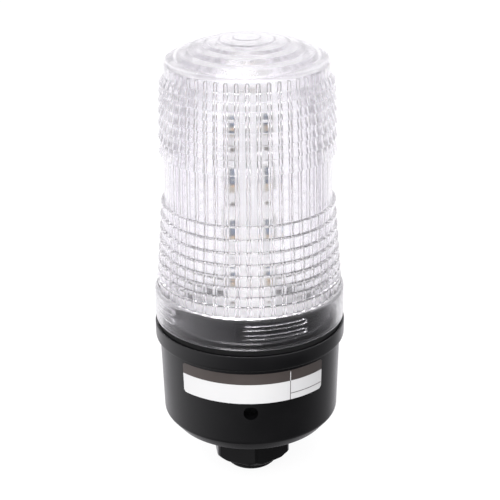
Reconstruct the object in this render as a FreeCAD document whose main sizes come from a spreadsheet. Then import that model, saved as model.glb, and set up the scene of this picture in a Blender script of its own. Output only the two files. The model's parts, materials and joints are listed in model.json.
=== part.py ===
import FreeCAD, Part
import math
import operator
import os
import Sketcher

# Signal light: a clear ringed lens on a black cup that stands on a hollow threaded stud.
# Millimetres, +Z up, origin in the middle of the flat seat under the cup.
# Azimuth 0 faces -Y, the side with the sound port, and grows towards +X.

SIZES = {
    # Flat sides of the cup, lens and gasket where they are round
    "turned_sides": 48,
    # Cup
    "bevel_width": 4.0,
    "bevel_height": 4.8,
    "wall_draft": 0.8,
    "rim_bottom": 34.7,
    "rim_lip": 1.6,
    "rim_corner": 1.4,
    "rim_overhang": 0.4,
    "rim_height": 6.3,
    "neck_gap": 2.1,
    "neck_wall": 2.0,
    "floor_thickness": 3.2,
    "post_width": 6.0,
    "post_depth": 6.5,
    "post_count": 4,
    "post_angle": 45.0,
    "port_radius": 2.65,
    "port_height": 17.4,
    "sounder_pad_width": 15.0,
    "sounder_pad_depth": 3.0,
    "moulding_overlap": 0.5,
    # Stud and nut
    "stud_radius": 10.0,
    "stud_length": 20.6,
    "stud_chamfer": 1.2,
    "cable_radius": 6.5,
    "nut_sides": 6,
    "nut_flats": 27.5,
    "nut_height": 10.5,
    "nut_chamfer": 1.6,
    "nut_turn": -22.6,
    "panel_gap": 5.5,
    "thread_clearance": 0.06,
    # Lens and its gasket
    "lens_gap": 2.0,
    "gasket_play": 0.3,
    "gasket_clearance": 0.15,
    "gasket_inset": 0.7,
    "skirt_radius": 35.0,
    "skirt_wall": 1.9,
    "skirt_height": 11.0,
    "shoulder_height": 1.3,
    "shoulder_step": 1.7,
    "lower_height": 33.1,
    "lower_beads": 8,
    "lower_foot_step": 1.05,
    "lower_draw": 2.25,
    "mid_height": 17.8,
    "mid_step": 1.3,
    "upper_height": 28.3,
    "upper_beads": 7,
    "upper_step": 1.4,
    "upper_crown": 0.85,
    "bead_ratio": 0.93,
    "bead_depth": 0.75,
    "bead_edge": 0.8,
    "bead_run_out": 2.2,
    "cap_step": 1.34,
    "cap_height": 4.1,
    "cap_corner_width": 0.9,
    "cap_corner_height": 1.6,
    "dome_rise": 7.4,
    "dome_bands": 4,
    # Inside of the lens
    "flute_count": 48,
    "flute_depth": 0.9,
    "flute_share": 0.6,
    "lower_wall": 2.45,
    "mid_wall": 1.6,
    "cap_wall": 1.9,
    "flute_head": 0.8,
    "dome_wall": 2.4,
    "dome_rings": 5,
    "ring_inset": 4.86,
    "ring_sides": 24,
    "ring_slant": 35.0,
    # Bayonet
    "lug_count": 4,
    "lug_start": -4.6,
    "lug_arc": 41.0,
    "bar_base": 3.75,
    "bar_thickness": 1.7,
    "bar_pitch": 3.45,
    "bar_facets": 6,
    "lug_play": 0.3,
    "lug_clearance": 0.45,
    "neck_clearance": 0.6,
    # Boards and light pillar
    "deck_drop": 1.9,
    "board_thickness": 1.6,
    "board_clearance": 0.3,
    "deck_sides": 24,
    "pillar_width": 16.5,
    "pillar_height": 74.5,
    "pillar_turn": 4.7,
    "tab_width": 8.0,
    "tab_reach": 0.6,
    "slot_clearance": 0.1,
    "pillar_cap_thickness": 1.6,
    "pillar_cap_corner": 1.2,
    "led_width": 3.2,
    "led_height": 7.0,
    "led_depth": 1.0,
    "led_rows": 4,
    "led_row_pitch": 16.6,
    "led_margin": 0.45,
    "top_led_gap": 0.3,
    "top_led_length": 2.8,
    # Supply under the main board
    "core_width": 16.0,
    "core_depth": 5.0,
    "core_height": 14.0,
    "core_leg": 4.0,
    "core_window_width": 3.5,
    "core_window_height": 9.0,
    "winding_play": 0.2,
    "winding_bulge": 3.3,
    "mains_capacitor_width": 7.0,
    "mains_capacitor_depth": 13.0,
    "mains_capacitor_height": 12.0,
    "output_capacitor_radius": 4.0,
    "output_capacitor_height": 12.0,
    "bridge_rectifier_width": 8.5,
    "bridge_rectifier_depth": 3.2,
    "bridge_rectifier_height": 6.5,
    "line_fuse_width": 8.5,
    "line_fuse_depth": 4.0,
    "line_fuse_height": 7.5,
    "driver_chip_width": 5.0,
    "driver_chip_depth": 4.0,
    "driver_chip_height": 1.6,
    "transformer_inset": 12.0,
    "transformer_offset": 5.0,
    "capacitor_inset": 14.0,
    "mains_capacitor_offset": 5.5,
    "output_capacitor_offset": -6.0,
    "bridge_rectifier_inset": 13.0,
    "line_fuse_inset": 15.0,
    "line_fuse_offset": -10.0,
    "terminal_inset": 11.0,
    "terminal_offset": -1.0,
    "terminal_width": 15.0,
    "terminal_depth": 8.0,
    "terminal_height": 10.0,
    "terminal_ways": 3,
    "wire_mouth": 2.8,
    "wire_depth": 6.0,
    "sounder_width": 12.0,
    "sounder_depth": 5.0,
}

SIDES = ("front", "right", "rear", "left")
TURN_DEGREES = 360
QUARTER_DEGREES = TURN_DEGREES / len(SIDES)
RIM_BEND = 1 - math.sqrt(0.5)

OPERATIONS = {
    "+": operator.add,
    "-": operator.sub,
    "*": operator.mul,
    "/": operator.truediv,
    "^": operator.pow,
}


class Size:
    """A size that carries its number and the sheet expression that gives it."""

    def __init__(self, number, text):
        self.number = float(number)
        self.text = text

    def __add__(self, other):
        return combine(self, "+", other)

    def __radd__(self, other):
        return combine(other, "+", self)

    def __sub__(self, other):
        return combine(self, "-", other)

    def __rsub__(self, other):
        return combine(other, "-", self)

    def __mul__(self, other):
        return combine(self, "*", other)

    def __rmul__(self, other):
        return combine(other, "*", self)

    def __truediv__(self, other):
        return combine(self, "/", other)

    def __pow__(self, other):
        return combine(self, "^", other)

    def __neg__(self):
        return combine(0, "-", self)


def as_size(value):
    if isinstance(value, Size):
        return value
    return Size(value, f"({float(value)})")


def combine(left, sign, right):
    left = as_size(left)
    right = as_size(right)
    number = OPERATIONS[sign](left.number, right.number)
    return Size(number, f"({left.text} {sign} {right.text})")


doc = FreeCAD.newDocument("signal_light")
sheet = doc.addObject("Spreadsheet::Sheet", "Sizes")
for row, (alias, number) in enumerate(SIZES.items(), start=1):
    sheet.set(f"A{row}", alias)
    sheet.set(f"B{row}", str(number))
    sheet.setAlias(f"B{row}", alias)
doc.recompute()


def size(alias):
    return Size(sheet.get(alias), f"Sizes.{alias}")


def count(alias):
    return int(round(sheet.get(alias)))


def bind(target, path, value):
    target.setExpression(path, as_size(value).text)


# Heights and radii that several pieces share, worked out from the skirt of the lens and the foot of the rim
skirt_inner = size("skirt_radius") - size("skirt_wall")
neck_radius = skirt_inner - size("neck_gap")
cavity_radius = neck_radius - size("neck_wall")
rim_radius = size("skirt_radius") + size("rim_overhang")
wall_top_radius = rim_radius - size("rim_lip")
foot_radius = wall_top_radius - size("wall_draft")
seat_radius = foot_radius - size("bevel_width")
lower_foot_radius = size("skirt_radius") - size("lower_foot_step")
lower_top_radius = lower_foot_radius - size("lower_draw")
mid_radius = lower_top_radius - size("mid_step")
upper_radius = mid_radius + size("upper_step")
cap_radius = mid_radius - size("cap_step")
ring_radius = cap_radius - size("ring_inset")
rim_top = size("rim_bottom") + size("rim_height")
lens_bottom = rim_top + size("lens_gap")
skirt_top = lens_bottom + size("skirt_height")
shoulder_top = skirt_top + size("shoulder_height")
mid_bottom = shoulder_top + size("lower_height")
mid_top = mid_bottom + size("mid_height")
cap_bottom = mid_top + size("upper_height")
cap_top = cap_bottom + size("cap_height")
dome_foot = cap_top + size("cap_corner_height")
dome_edge = cap_radius - size("cap_corner_width")
bar_bottom = lens_bottom + size("bar_base")
neck_top = skirt_top - size("neck_clearance")
deck_top = neck_top - size("deck_drop")
deck_bottom = deck_top - size("board_thickness")
pillar_top = deck_top + size("pillar_height")
sounder_face = cavity_radius - size("sounder_pad_depth")
nut_top = -size("panel_gap")


def new_body(label):
    body = doc.addObject("PartDesign::Body", label)
    body.Label = label
    return body


def new_sketch(body, name, role, offset=0, turn=0):
    """A sketch on one of the body's own planes, moved along its normal and turned about the upright axis."""
    sketch = body.newObject("Sketcher::SketchObject", name)
    plane = next(item for item in body.Origin.OriginFeatures if item.Role == role)
    sketch.AttachmentSupport = [(plane, "")]
    sketch.MapMode = "FlatFace"
    upright = FreeCAD.Vector(0, 0, 1) if role == "XY_Plane" else FreeCAD.Vector(0, 1, 0)
    sketch.AttachmentOffset = FreeCAD.Placement(FreeCAD.Vector(), FreeCAD.Rotation(upright, 1))
    bind(sketch, "AttachmentOffset.Rotation.Angle", turn)
    bind(sketch, "AttachmentOffset.Base.z", offset)
    return sketch


def hold(sketch, kind, axis, geometry, vertex, value):
    """Keeps one coordinate of a vertex at a size, or on the axis where it is nought."""
    value = as_size(value)
    if abs(value.number) < 1e-9:
        sketch.addConstraint(Sketcher.Constraint("PointOnObject", geometry, vertex, axis))
        return
    index = sketch.addConstraint(Sketcher.Constraint(kind, -1, 1, geometry, vertex, value.number))
    bind(sketch, f"Constraints[{index}]", value)


def outline(sketch, corners):
    """A closed outline of straight lines whose corners are all held by sizes."""
    first = sketch.GeometryCount
    points = [FreeCAD.Vector(as_size(x).number, as_size(y).number, 0) for x, y in corners]
    total = len(points)
    for index in range(total):
        sketch.addGeometry(Part.LineSegment(points[index], points[(index + 1) % total]), False)
    for index in range(total):
        following = first + (index + 1) % total
        sketch.addConstraint(Sketcher.Constraint("Coincident", first + index, 2, following, 1))
    for index, (x, y) in enumerate(corners):
        hold(sketch, "DistanceX", -2, first + index, 1, x)
        hold(sketch, "DistanceY", -1, first + index, 1, y)


def rectangle(sketch, left, right, low, high):
    outline(sketch, [(left, low), (right, low), (right, high), (left, high)])


def circle(sketch, x, y, radius):
    radius = as_size(radius)
    centre = FreeCAD.Vector(as_size(x).number, as_size(y).number, 0)
    geometry = sketch.addGeometry(Part.Circle(centre, FreeCAD.Vector(0, 0, 1), radius.number), False)
    hold(sketch, "DistanceX", -2, geometry, 3, x)
    hold(sketch, "DistanceY", -1, geometry, 3, y)
    index = sketch.addConstraint(Sketcher.Constraint("Radius", geometry, radius.number))
    bind(sketch, f"Constraints[{index}]", radius)


def revolve(body, name, sketch, angle=TURN_DEGREES):
    turned = body.newObject("PartDesign::Revolution", name)
    turned.Profile = sketch
    turned.ReferenceAxis = (sketch, ["V_Axis"])
    bind(turned, "Angle", angle)
    body.Tip = turned
    return turned


def pad(body, name, sketch, length, inwards=False):
    block = body.newObject("PartDesign::Pad", name)
    block.Profile = sketch
    block.Reversed = inwards
    bind(block, "Length", length)
    body.Tip = block
    return block


def taken_away(body, kind, name, sketch, path, value, axis=None):
    """A cut made with a sketch, which has to take something away."""
    doc.recompute()
    before = body.Shape.Volume
    recess = body.newObject(f"PartDesign::{kind}", name)
    recess.Profile = sketch
    if axis:
        recess.ReferenceAxis = axis
    bind(recess, path, value)
    body.Tip = recess
    doc.recompute()
    if body.Shape.Volume >= before:
        raise RuntimeError(f"{name} cuts nothing")
    return recess


def pocket(body, name, sketch, depth):
    return taken_away(body, "Pocket", name, sketch, "Length", depth)


def groove(body, name, sketch):
    return taken_away(body, "Groove", name, sketch, "Angle", TURN_DEGREES, (sketch, ["V_Axis"]))


def polar(body, name, original, occurrences):
    pattern = body.newObject("PartDesign::PolarPattern", name)
    pattern.Originals = [original]
    axis = next(item for item in body.Origin.OriginFeatures if item.Role == "Z_Axis")
    pattern.Axis = (axis, [""])
    pattern.Angle = TURN_DEGREES
    bind(pattern, "Occurrences", occurrences)
    body.Tip = pattern
    return pattern


def box(label, x, y, top, width, depth, height):
    """A block hung by its top face, centred on X and Y."""
    block = doc.addObject("Part::Box", label)
    block.Label = label
    bind(block, "Length", width)
    bind(block, "Width", depth)
    bind(block, "Height", height)
    bind(block, "Placement.Base.x", x - width / 2)
    bind(block, "Placement.Base.y", y - depth / 2)
    bind(block, "Placement.Base.z", top - height)
    return block


def cylinder(label, x, y, top, radius, height):
    """A round piece hung by its top face."""
    rod = doc.addObject("Part::Cylinder", label)
    rod.Label = label
    bind(rod, "Radius", radius)
    bind(rod, "Height", height)
    bind(rod, "Placement.Base.x", x)
    bind(rod, "Placement.Base.y", y)
    bind(rod, "Placement.Base.z", top - height)
    return rod


def boolean(kind, label, base, tool):
    result = doc.addObject(f"Part::{kind}", label)
    result.Label = label
    result.Base = base
    result.Tool = tool
    return result


def shaped(label, shape):
    item = doc.addObject("Part::Feature", label)
    item.Label = label
    item.Shape = shape
    return item


def quarter_turned(item, quarter):
    """Turns a piece of the pillar to its side, and with the whole pillar."""
    item.Placement.Rotation = FreeCAD.Rotation(FreeCAD.Vector(0, 0, 1), 1)
    bind(item, "Placement.Rotation.Angle", size("pillar_turn") + QUARTER_DEGREES * quarter)
    return item


# Flat-faced shells: loops of corners at one height each, joined by flat faces

def point_at(radius, angle, height):
    return FreeCAD.Vector(radius * math.sin(angle), -radius * math.cos(angle), height)


def round_loop(radius, height, sides):
    """A ring of corners with a flat side, not a corner, at azimuth 0."""
    pitch = 2 * math.pi / sides
    return [point_at(radius, (index + 0.5) * pitch, height) for index in range(sides)]


def wire(loop):
    return Part.makePolygon(loop + loop[:1])


def band(low, high):
    """The flat faces between two loops that have the same number of corners."""
    faces = []
    for index in range(len(low)):
        after = (index + 1) % len(low)
        faces.append(Part.Face(wire([low[index], low[after], high[after], high[index]])))
    return faces


def bands(loops):
    return [face for low, high in zip(loops, loops[1:]) for face in band(low, high)]


def plate(outer, *holes):
    """A level face inside one loop, with holes."""
    return Part.makeFace([wire(outer)] + [wire(hole) for hole in holes], "Part::FaceMakerBullseye")


def closed_solid(faces):
    shell = Part.Shell(faces)
    shell.sewShape()
    solid = Part.Solid(shell)
    if solid.Volume < 0:
        solid.reverse()
    return solid


def cup_blank():
    """The outside of the cup as a full block, with its bevelled foot, tapered wall and rounded rim."""
    bend = size("rim_corner") * RIM_BEND
    corners = [
        (seat_radius, as_size(0)),
        (foot_radius, size("bevel_height")),
        (wall_top_radius, size("rim_bottom")),
        (rim_radius - bend, size("rim_bottom") + bend),
        (rim_radius, size("rim_bottom") + size("rim_corner")),
        (rim_radius, rim_top),
    ]
    loops = [round_loop(radius.number, height.number, count("turned_sides")) for radius, height in corners]
    return closed_solid([plate(loops[0]), plate(loops[-1])] + bands(loops))


def housing():
    body = new_body("housing")
    body.BaseFeature = shaped("cup_blank", cup_blank())
    section = new_sketch(body, "stud_and_neck_section", "XZ_Plane")
    stud_end = -size("stud_length")
    stud = size("stud_radius")
    overlap = size("moulding_overlap")
    outline(section, [
        (0, stud_end),
        (stud - size("stud_chamfer"), stud_end),
        (stud, stud_end + size("stud_chamfer")),
        (stud, rim_top - overlap),
        (neck_radius, rim_top - overlap),
        (neck_radius, neck_top),
        (0, neck_top),
    ])
    revolve(body, "stud_and_neck", section)
    hollow = new_sketch(body, "hollow_section", "XZ_Plane")
    outline(hollow, [
        (0, stud_end),
        (size("cable_radius"), stud_end),
        (size("cable_radius"), size("floor_thickness")),
        (cavity_radius, size("floor_thickness")),
        (cavity_radius, neck_top),
        (0, neck_top),
    ])
    groove(body, "hollow", hollow)

    # One lug runs between each pair of bars of the lens
    lug_low = bar_bottom + size("bar_thickness") + size("lug_play")
    lug_high = bar_bottom + size("bar_pitch") - size("lug_play")
    lug_section = new_sketch(body, "lug_section", "XZ_Plane", turn=size("lug_start") - QUARTER_DEGREES)
    lug_reach = skirt_inner - size("lug_clearance")
    rectangle(lug_section, neck_radius - overlap, lug_reach, lug_low, lug_high)
    lug = revolve(body, "lug", lug_section, size("lug_arc"))
    polar(body, "lugs", lug, size("lug_count"))

    # Posts along the wall carry the main board
    post_section = new_sketch(body, "post_section", "XY_Plane", offset=deck_bottom, turn=size("post_angle"))
    half_post = size("post_width") / 2
    post_face = size("post_depth") - cavity_radius
    rectangle(post_section, -half_post, half_post, -cavity_radius - overlap, post_face)
    post = pad(body, "post", post_section, deck_bottom - size("floor_thickness") + overlap, inwards=True)
    polar(body, "posts", post, size("post_count"))

    # The sounder lies on a flat pad behind its port
    pad_section = new_sketch(body, "sounder_pad_section", "XZ_Plane", offset=sounder_face)
    half_pad = size("sounder_pad_width") / 2
    level = size("port_height")
    rectangle(pad_section, -half_pad, half_pad, level - half_pad, level + half_pad)
    pad(body, "sounder_pad", pad_section, size("sounder_pad_depth") + overlap)
    port_section = new_sketch(body, "port_section", "XZ_Plane", offset=rim_radius)
    circle(port_section, 0, level, size("port_radius"))
    pocket(body, "sound_port", port_section, rim_radius - sounder_face + overlap)
    return body


def bead_share(index, beads):
    """Share of a bead section's height between the smooth band and the crest with this number."""
    ratio = sheet.get("bead_ratio")
    return (1 - ratio ** index) / (1 - ratio ** (beads - 1))


def lower_crests():
    """Crests of the lower beads, from the shoulder up to the smooth band."""
    first = mid_bottom - size("bead_edge")
    run = first - shoulder_top - size("bead_run_out")
    spread = lower_foot_radius - lower_top_radius
    beads = count("lower_beads")
    shares = [bead_share(index, beads) for index in reversed(range(beads))]
    return [(lower_top_radius + spread * share, first - run * share) for share in shares]


def upper_crests():
    """Crests of the upper beads, from the smooth band up, drawn in by the crown."""
    first = mid_top + size("bead_edge")
    run = cap_bottom - size("bead_run_out") - first
    beads = count("upper_beads")
    shares = [bead_share(index, beads) for index in range(beads)]
    crown = size("upper_crown")
    return [(upper_radius - crown * share ** 2, first + run * share) for share in shares]


def with_valleys(crests):
    corners = [crests[0]]
    for (low_radius, low), (high_radius, high) in zip(crests, crests[1:]):
        corners.append(((low_radius + high_radius) / 2 - size("bead_depth"), (low + high) / 2))
        corners.append((high_radius, high))
    return corners


def dome_height(radius):
    """Height of the dome's round outside at a radius."""
    rise = sheet.get("dome_rise")
    edge = dome_edge.number
    ball = (edge ** 2 + rise ** 2) / (2 * rise)
    return dome_foot.number + rise - ball + math.sqrt(ball ** 2 - radius ** 2)


def lens_outside():
    """Loops of the lens's outside, from the lower edge of the skirt up to the last band of the dome."""
    corners = [
        (size("skirt_radius"), lens_bottom),
        (size("skirt_radius"), skirt_top),
        (size("skirt_radius") - size("shoulder_step"), shoulder_top),
    ]
    corners += with_valleys(lower_crests())
    corners += [(mid_radius, mid_bottom), (mid_radius, mid_top)]
    corners += with_valleys(upper_crests())
    corners += [(cap_radius, cap_bottom), (cap_radius, cap_top)]
    steps = count("dome_bands")
    for step in range(steps):
        radius = dome_edge * (1 - step / steps)
        corners.append((radius, as_size(dome_height(radius.number))))
    sides = count("turned_sides")
    return [round_loop(radius.number, height.number, sides) for radius, height in corners]


def flute_loop(groove_radius, rib_radius, height):
    """Corners of the fluted section at one height: wide grooves with narrow ribs between them."""
    pitch = 2 * math.pi / count("flute_count")
    groove = pitch * sheet.get("flute_share")
    slope = (pitch - groove) / 4
    corners = []
    for flute in range(count("flute_count")):
        middle = (flute + 0.5) * pitch
        corners.append(point_at(groove_radius, middle - groove / 2, height))
        corners.append(point_at(groove_radius, middle + groove / 2, height))
        corners.append(point_at(rib_radius, middle + groove / 2 + slope, height))
        corners.append(point_at(rib_radius, middle + pitch - groove / 2 - slope, height))
    return corners


def flute_loops():
    """The fluted sections, scaled copies of each other so that the faces between them are flat."""
    levels = [
        (lower_foot_radius - size("lower_wall"), skirt_top),
        (mid_radius - size("mid_wall"), mid_bottom),
        (cap_radius - size("cap_wall"), cap_top - size("flute_head")),
    ]
    rib_share = 1 - sheet.get("flute_depth") / levels[0][0].number
    return [flute_loop(radius.number, radius.number * rib_share, height.number) for radius, height in levels]


def ceiling_faces(flutes_end):
    """The rings under the dome, with slanted steps, from the heads of the flutes to the middle."""
    rings = count("dome_rings")
    sides = count("ring_sides")
    floor = flutes_end[0].z
    outer = flutes_end
    faces = []
    for ring in range(rings):
        radius = ring_radius.number * (1 - ring / rings)
        ceiling = dome_height(radius) - sheet.get("dome_wall")
        foot = round_loop(radius, floor, sides)
        slant = (ceiling - floor) * math.tan(math.radians(sheet.get("ring_slant")))
        head = round_loop(radius - slant, ceiling, sides)
        faces.append(plate(outer, foot))
        faces += band(foot, head)
        floor = ceiling
        outer = head
    faces.append(plate(outer))
    return faces


def lens_shell():
    """The lens without its bars: beads and dome outside, skirt, flutes and stepped rings inside."""
    outside = lens_outside()
    sides = count("turned_sides")
    skirt = [round_loop(skirt_inner.number, height.number, sides) for height in (lens_bottom, skirt_top)]
    flutes = flute_loops()
    tip = FreeCAD.Vector(0, 0, dome_height(0))
    faces = [plate(outside[0], skirt[0]), plate(skirt[1], flutes[0])]
    faces += bands(outside) + bands(skirt) + bands(flutes)
    for start, end in zip(outside[-1], outside[-1][1:] + outside[-1][:1]):
        faces.append(Part.Face(wire([start, end, tip])))
    faces += ceiling_faces(flutes[-1])
    return closed_solid(faces)


def bayonet_bars():
    """Pairs of bars on the inside of the skirt, one pair for each lug of the neck."""
    inner = neck_radius.number + sheet.get("lug_clearance")
    outer = skirt_inner.number + sheet.get("moulding_overlap")
    facets = count("bar_facets")
    bars = []
    for pair in range(count("lug_count")):
        start = sheet.get("lug_start") + TURN_DEGREES * pair / count("lug_count")
        angles = [math.radians(start + sheet.get("lug_arc") * step / facets) for step in range(facets + 1)]
        for row in range(2):
            height = bar_bottom.number + sheet.get("bar_pitch") * row
            corners = [point_at(inner, angle, height) for angle in angles]
            corners += [point_at(outer, angle, height) for angle in reversed(angles)]
            bars.append(plate(corners).extrude(FreeCAD.Vector(0, 0, sheet.get("bar_thickness"))))
    return Part.makeCompound(bars)


def lens():
    return boolean("Fuse", "lens", shaped("lens_shell", lens_shell()), shaped("lens_bars", bayonet_bars()))


def lens_gasket():
    sides = count("turned_sides")
    inner = neck_radius.number + sheet.get("gasket_clearance")
    outer = sheet.get("skirt_radius") - sheet.get("gasket_inset")
    levels = (rim_top.number, lens_bottom.number - sheet.get("gasket_play"))
    inside = [round_loop(inner, height, sides) for height in levels]
    outside = [round_loop(outer, height, sides) for height in levels]
    faces = bands(inside) + bands(outside)
    faces += [plate(ring, hole) for ring, hole in zip(outside, inside)]
    return shaped("lens_gasket", closed_solid(faces))


def mounting_nut():
    """A hexagon with its corners turned off below, on the stud with room for a panel above it."""
    sides = count("nut_sides")
    corner_radius = size("nut_flats") / (2 * math.cos(math.pi / sides))
    bottom = nut_top - size("nut_height")
    hexagon = doc.addObject("Part::Prism", "nut_hexagon")
    hexagon.Polygon = sides
    bind(hexagon, "Circumradius", corner_radius)
    bind(hexagon, "Height", size("nut_height"))
    hexagon.Placement.Rotation = FreeCAD.Rotation(FreeCAD.Vector(0, 0, 1), 1)
    bind(hexagon, "Placement.Rotation.Angle", size("nut_turn"))
    bind(hexagon, "Placement.Base.z", bottom)

    turning = new_body("nut_turning")
    section = new_sketch(turning, "nut_section", "XZ_Plane")
    outline(section, [
        (0, bottom),
        (corner_radius - size("nut_chamfer"), bottom),
        (corner_radius + size("nut_height"), bottom + size("nut_chamfer") + size("nut_height")),
        (0, bottom + size("nut_chamfer") + size("nut_height")),
    ])
    revolve(turning, "nut_cone", section)

    blank = boolean("Common", "nut_blank", hexagon, turning)
    bore_radius = size("stud_radius") + size("thread_clearance")
    bore = cylinder("nut_bore", 0, 0, nut_top, bore_radius, size("nut_height"))
    return boolean("Cut", "mounting_nut", blank, bore)


def main_board():
    """The round deck, with a slot for the tab of each board of the pillar."""
    body = new_body("main_board")
    section = new_sketch(body, "deck_section", "XY_Plane", offset=deck_bottom)
    sides = count("deck_sides")
    radius = cavity_radius - size("board_clearance")
    angles = [TURN_DEGREES * (index + 0.5) / sides for index in range(sides)]
    outline(section, [
        (radius * math.cos(math.radians(angle)), radius * math.sin(math.radians(angle))) for angle in angles
    ])
    pad(body, "deck", section, size("board_thickness"))

    slot_section = new_sketch(body, "slot_section", "XY_Plane", offset=deck_top, turn=size("pillar_turn"))
    room = size("slot_clearance")
    half_slot = size("tab_width") / 2 + room
    face = -size("pillar_width") / 2
    rectangle(slot_section, -half_slot, half_slot, face - room, face + size("board_thickness") + room)
    slot = pocket(body, "slot", slot_section, size("board_thickness"))
    polar(body, "slots", slot, len(SIDES))
    return body


def board_half_width(quarter):
    """Half the width of a board: those at the left and right fit between the front and rear ones."""
    if quarter % 2:
        return size("pillar_width") / 2 - size("board_thickness")
    return size("pillar_width") / 2


def led_board(label, quarter):
    """One side of the pillar, whose tab stands in the deck."""
    body = new_body(label)
    section = new_sketch(body, f"{label}_section", "XZ_Plane", offset=size("pillar_width") / 2)
    half = board_half_width(quarter)
    half_tab = size("tab_width") / 2
    foot = deck_bottom - size("tab_reach")
    outline(section, [
        (-half, deck_top),
        (-half_tab, deck_top),
        (-half_tab, foot),
        (half_tab, foot),
        (half_tab, deck_top),
        (half, deck_top),
        (half, pillar_top),
        (-half, pillar_top),
    ])
    pad(body, f"{label}_plate", section, size("board_thickness"), inwards=True)
    return quarter_turned(body, quarter)


def leds(label, quarter):
    """The lamps of one board, in a column along each edge of its outer face."""
    width = sheet.get("led_width")
    height = sheet.get("led_height")
    depth = sheet.get("led_depth")
    rows = count("led_rows")
    edge = board_half_width(quarter).number - sheet.get("led_margin")
    middle_z = (deck_top.number + pillar_top.number) / 2
    face = -sheet.get("pillar_width") / 2
    lamps = []
    for x in (-edge, edge - width):
        for row in range(rows):
            z = middle_z + (row - (rows - 1) / 2) * sheet.get("led_row_pitch")
            corner = FreeCAD.Vector(x, face - depth, z - height / 2)
            lamps.append(Part.makeBox(width, depth, height, corner))
    return quarter_turned(shaped(label, Part.makeCompound(lamps)), quarter)


def top_leds():
    """Two lamps that face up from the pillar's cap."""
    width = sheet.get("led_width")
    length = sheet.get("top_led_length")
    half_gap = sheet.get("top_led_gap") / 2
    level = pillar_top.number + sheet.get("pillar_cap_thickness")
    lamps = []
    for x in (-half_gap - width, half_gap):
        corner = FreeCAD.Vector(x, -length / 2, level)
        lamps.append(Part.makeBox(width, length, sheet.get("led_depth"), corner))
    return quarter_turned(shaped("leds_top", Part.makeCompound(lamps)), 0)


def pillar_cap():
    body = new_body("pillar_cap")
    section = new_sketch(body, "pillar_cap_section", "XY_Plane", offset=pillar_top)
    half = size("pillar_width") / 2
    flat = half - size("pillar_cap_corner")
    outline(section, [
        (-flat, -half),
        (flat, -half),
        (half, -flat),
        (half, flat),
        (flat, half),
        (-flat, half),
        (-half, flat),
        (-half, -flat),
    ])
    pad(body, "pillar_cap_plate", section, size("pillar_cap_thickness"))
    return quarter_turned(body, 0)


def transformer():
    """A core with two windows, and the winding round its middle leg."""
    spot = (cavity_radius - size("transformer_inset"), size("transformer_offset"))
    depth = size("core_depth")
    core = box("core_blank", *spot, deck_bottom, size("core_width"), depth, size("core_height"))
    window_width = size("core_window_width")
    window_height = size("core_window_height")
    window_top = deck_bottom - (size("core_height") - window_height) / 2
    shift = (size("core_leg") + window_width) / 2
    for side, label in ((-1, "core_half"), (1, "transformer_core")):
        x = spot[0] + shift * side
        window = box(f"{label}_window", x, spot[1], window_top, window_width, depth, window_height)
        core = boolean("Cut", label, core, window)

    play = size("winding_play")
    bulge = size("winding_bulge") * 2
    top = window_top - play
    height = window_height - 2 * play
    coil = box("winding_blank", *spot, top, size("core_leg") + bulge, depth + bulge, height)
    passage = box("winding_passage", *spot, top, size("core_leg") + play, depth + play, height)
    return [core, boolean("Cut", "transformer_winding", coil, passage)]


def supply_blocks():
    """The plain bodies that hang under the main board."""
    places = {
        "mains_capacitor": (size("capacitor_inset") - cavity_radius, size("mains_capacitor_offset")),
        "bridge_rectifier": (as_size(0), cavity_radius - size("bridge_rectifier_inset")),
        "line_fuse": (cavity_radius - size("line_fuse_inset"), size("line_fuse_offset")),
        "driver_chip": (as_size(0), as_size(0)),
    }
    blocks = []
    for label, spot in places.items():
        sides = [size(f"{label}_{side}") for side in ("width", "depth", "height")]
        blocks.append(box(label, *spot, deck_bottom, *sides))
    return blocks


def output_capacitor():
    x = size("capacitor_inset") - cavity_radius
    y = size("output_capacitor_offset")
    radius = size("output_capacitor_radius")
    return cylinder("output_capacitor", x, y, deck_bottom, radius, size("output_capacitor_height"))


def terminal_block():
    """A block with a row of square wire mouths that open downwards."""
    body = new_body("terminal_block")
    bottom = deck_bottom - size("terminal_height")
    section = new_sketch(body, "terminal_section", "XY_Plane", offset=bottom)
    half_width = size("terminal_width") / 2
    half_depth = size("terminal_depth") / 2
    middle_x = size("terminal_offset")
    middle_y = size("terminal_inset") - cavity_radius
    front = middle_y - half_depth
    rectangle(section, middle_x - half_width, middle_x + half_width, front, middle_y + half_depth)
    pad(body, "terminal_blank", section, size("terminal_height"))
    mouth_section = new_sketch(body, "mouth_section", "XY_Plane", offset=bottom + size("wire_depth"))
    half_mouth = size("wire_mouth") / 2
    ways = count("terminal_ways")
    for way in range(ways):
        x = middle_x + size("terminal_width") / ways * (way - (ways - 1) / 2)
        rectangle(mouth_section, x - half_mouth, x + half_mouth, middle_y - half_mouth, middle_y + half_mouth)
    pocket(body, "wire_mouths", mouth_section, size("wire_depth"))
    return body


def sounder():
    """A flat buzzer that lies against the pad behind the port."""
    width = size("sounder_width")
    depth = size("sounder_depth")
    top = size("port_height") + width / 2
    return box("sounder", as_size(0), depth / 2 - sounder_face, top, width, depth, width)


pieces = [housing(), lens(), lens_gasket(), mounting_nut(), main_board(), pillar_cap(), top_leds()]
for quarter, side in enumerate(SIDES):
    pieces.append(led_board(f"led_board_{side}", quarter))
    pieces.append(leds(f"leds_{side}", quarter))
pieces += transformer()
pieces += supply_blocks()
pieces += [output_capacitor(), terminal_block(), sounder()]
doc.recompute()

for item in doc.Objects:
    if "Invalid" in item.State or "Error" in item.State:
        raise RuntimeError(f"{item.Label} failed: {item.State}")
for piece in pieces:
    if piece.Shape.isNull() or not piece.Shape.isValid():
        raise RuntimeError(f"{piece.Label} has no valid shape")

os.makedirs("parts", exist_ok=True)
for piece in pieces:
    piece.Shape.exportStep(f"parts/{piece.Label}.step")
    print(f"{piece.Label}: {len(piece.Shape.Solids)} solid(s), {piece.Shape.Volume:.1f} mm3")
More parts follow.
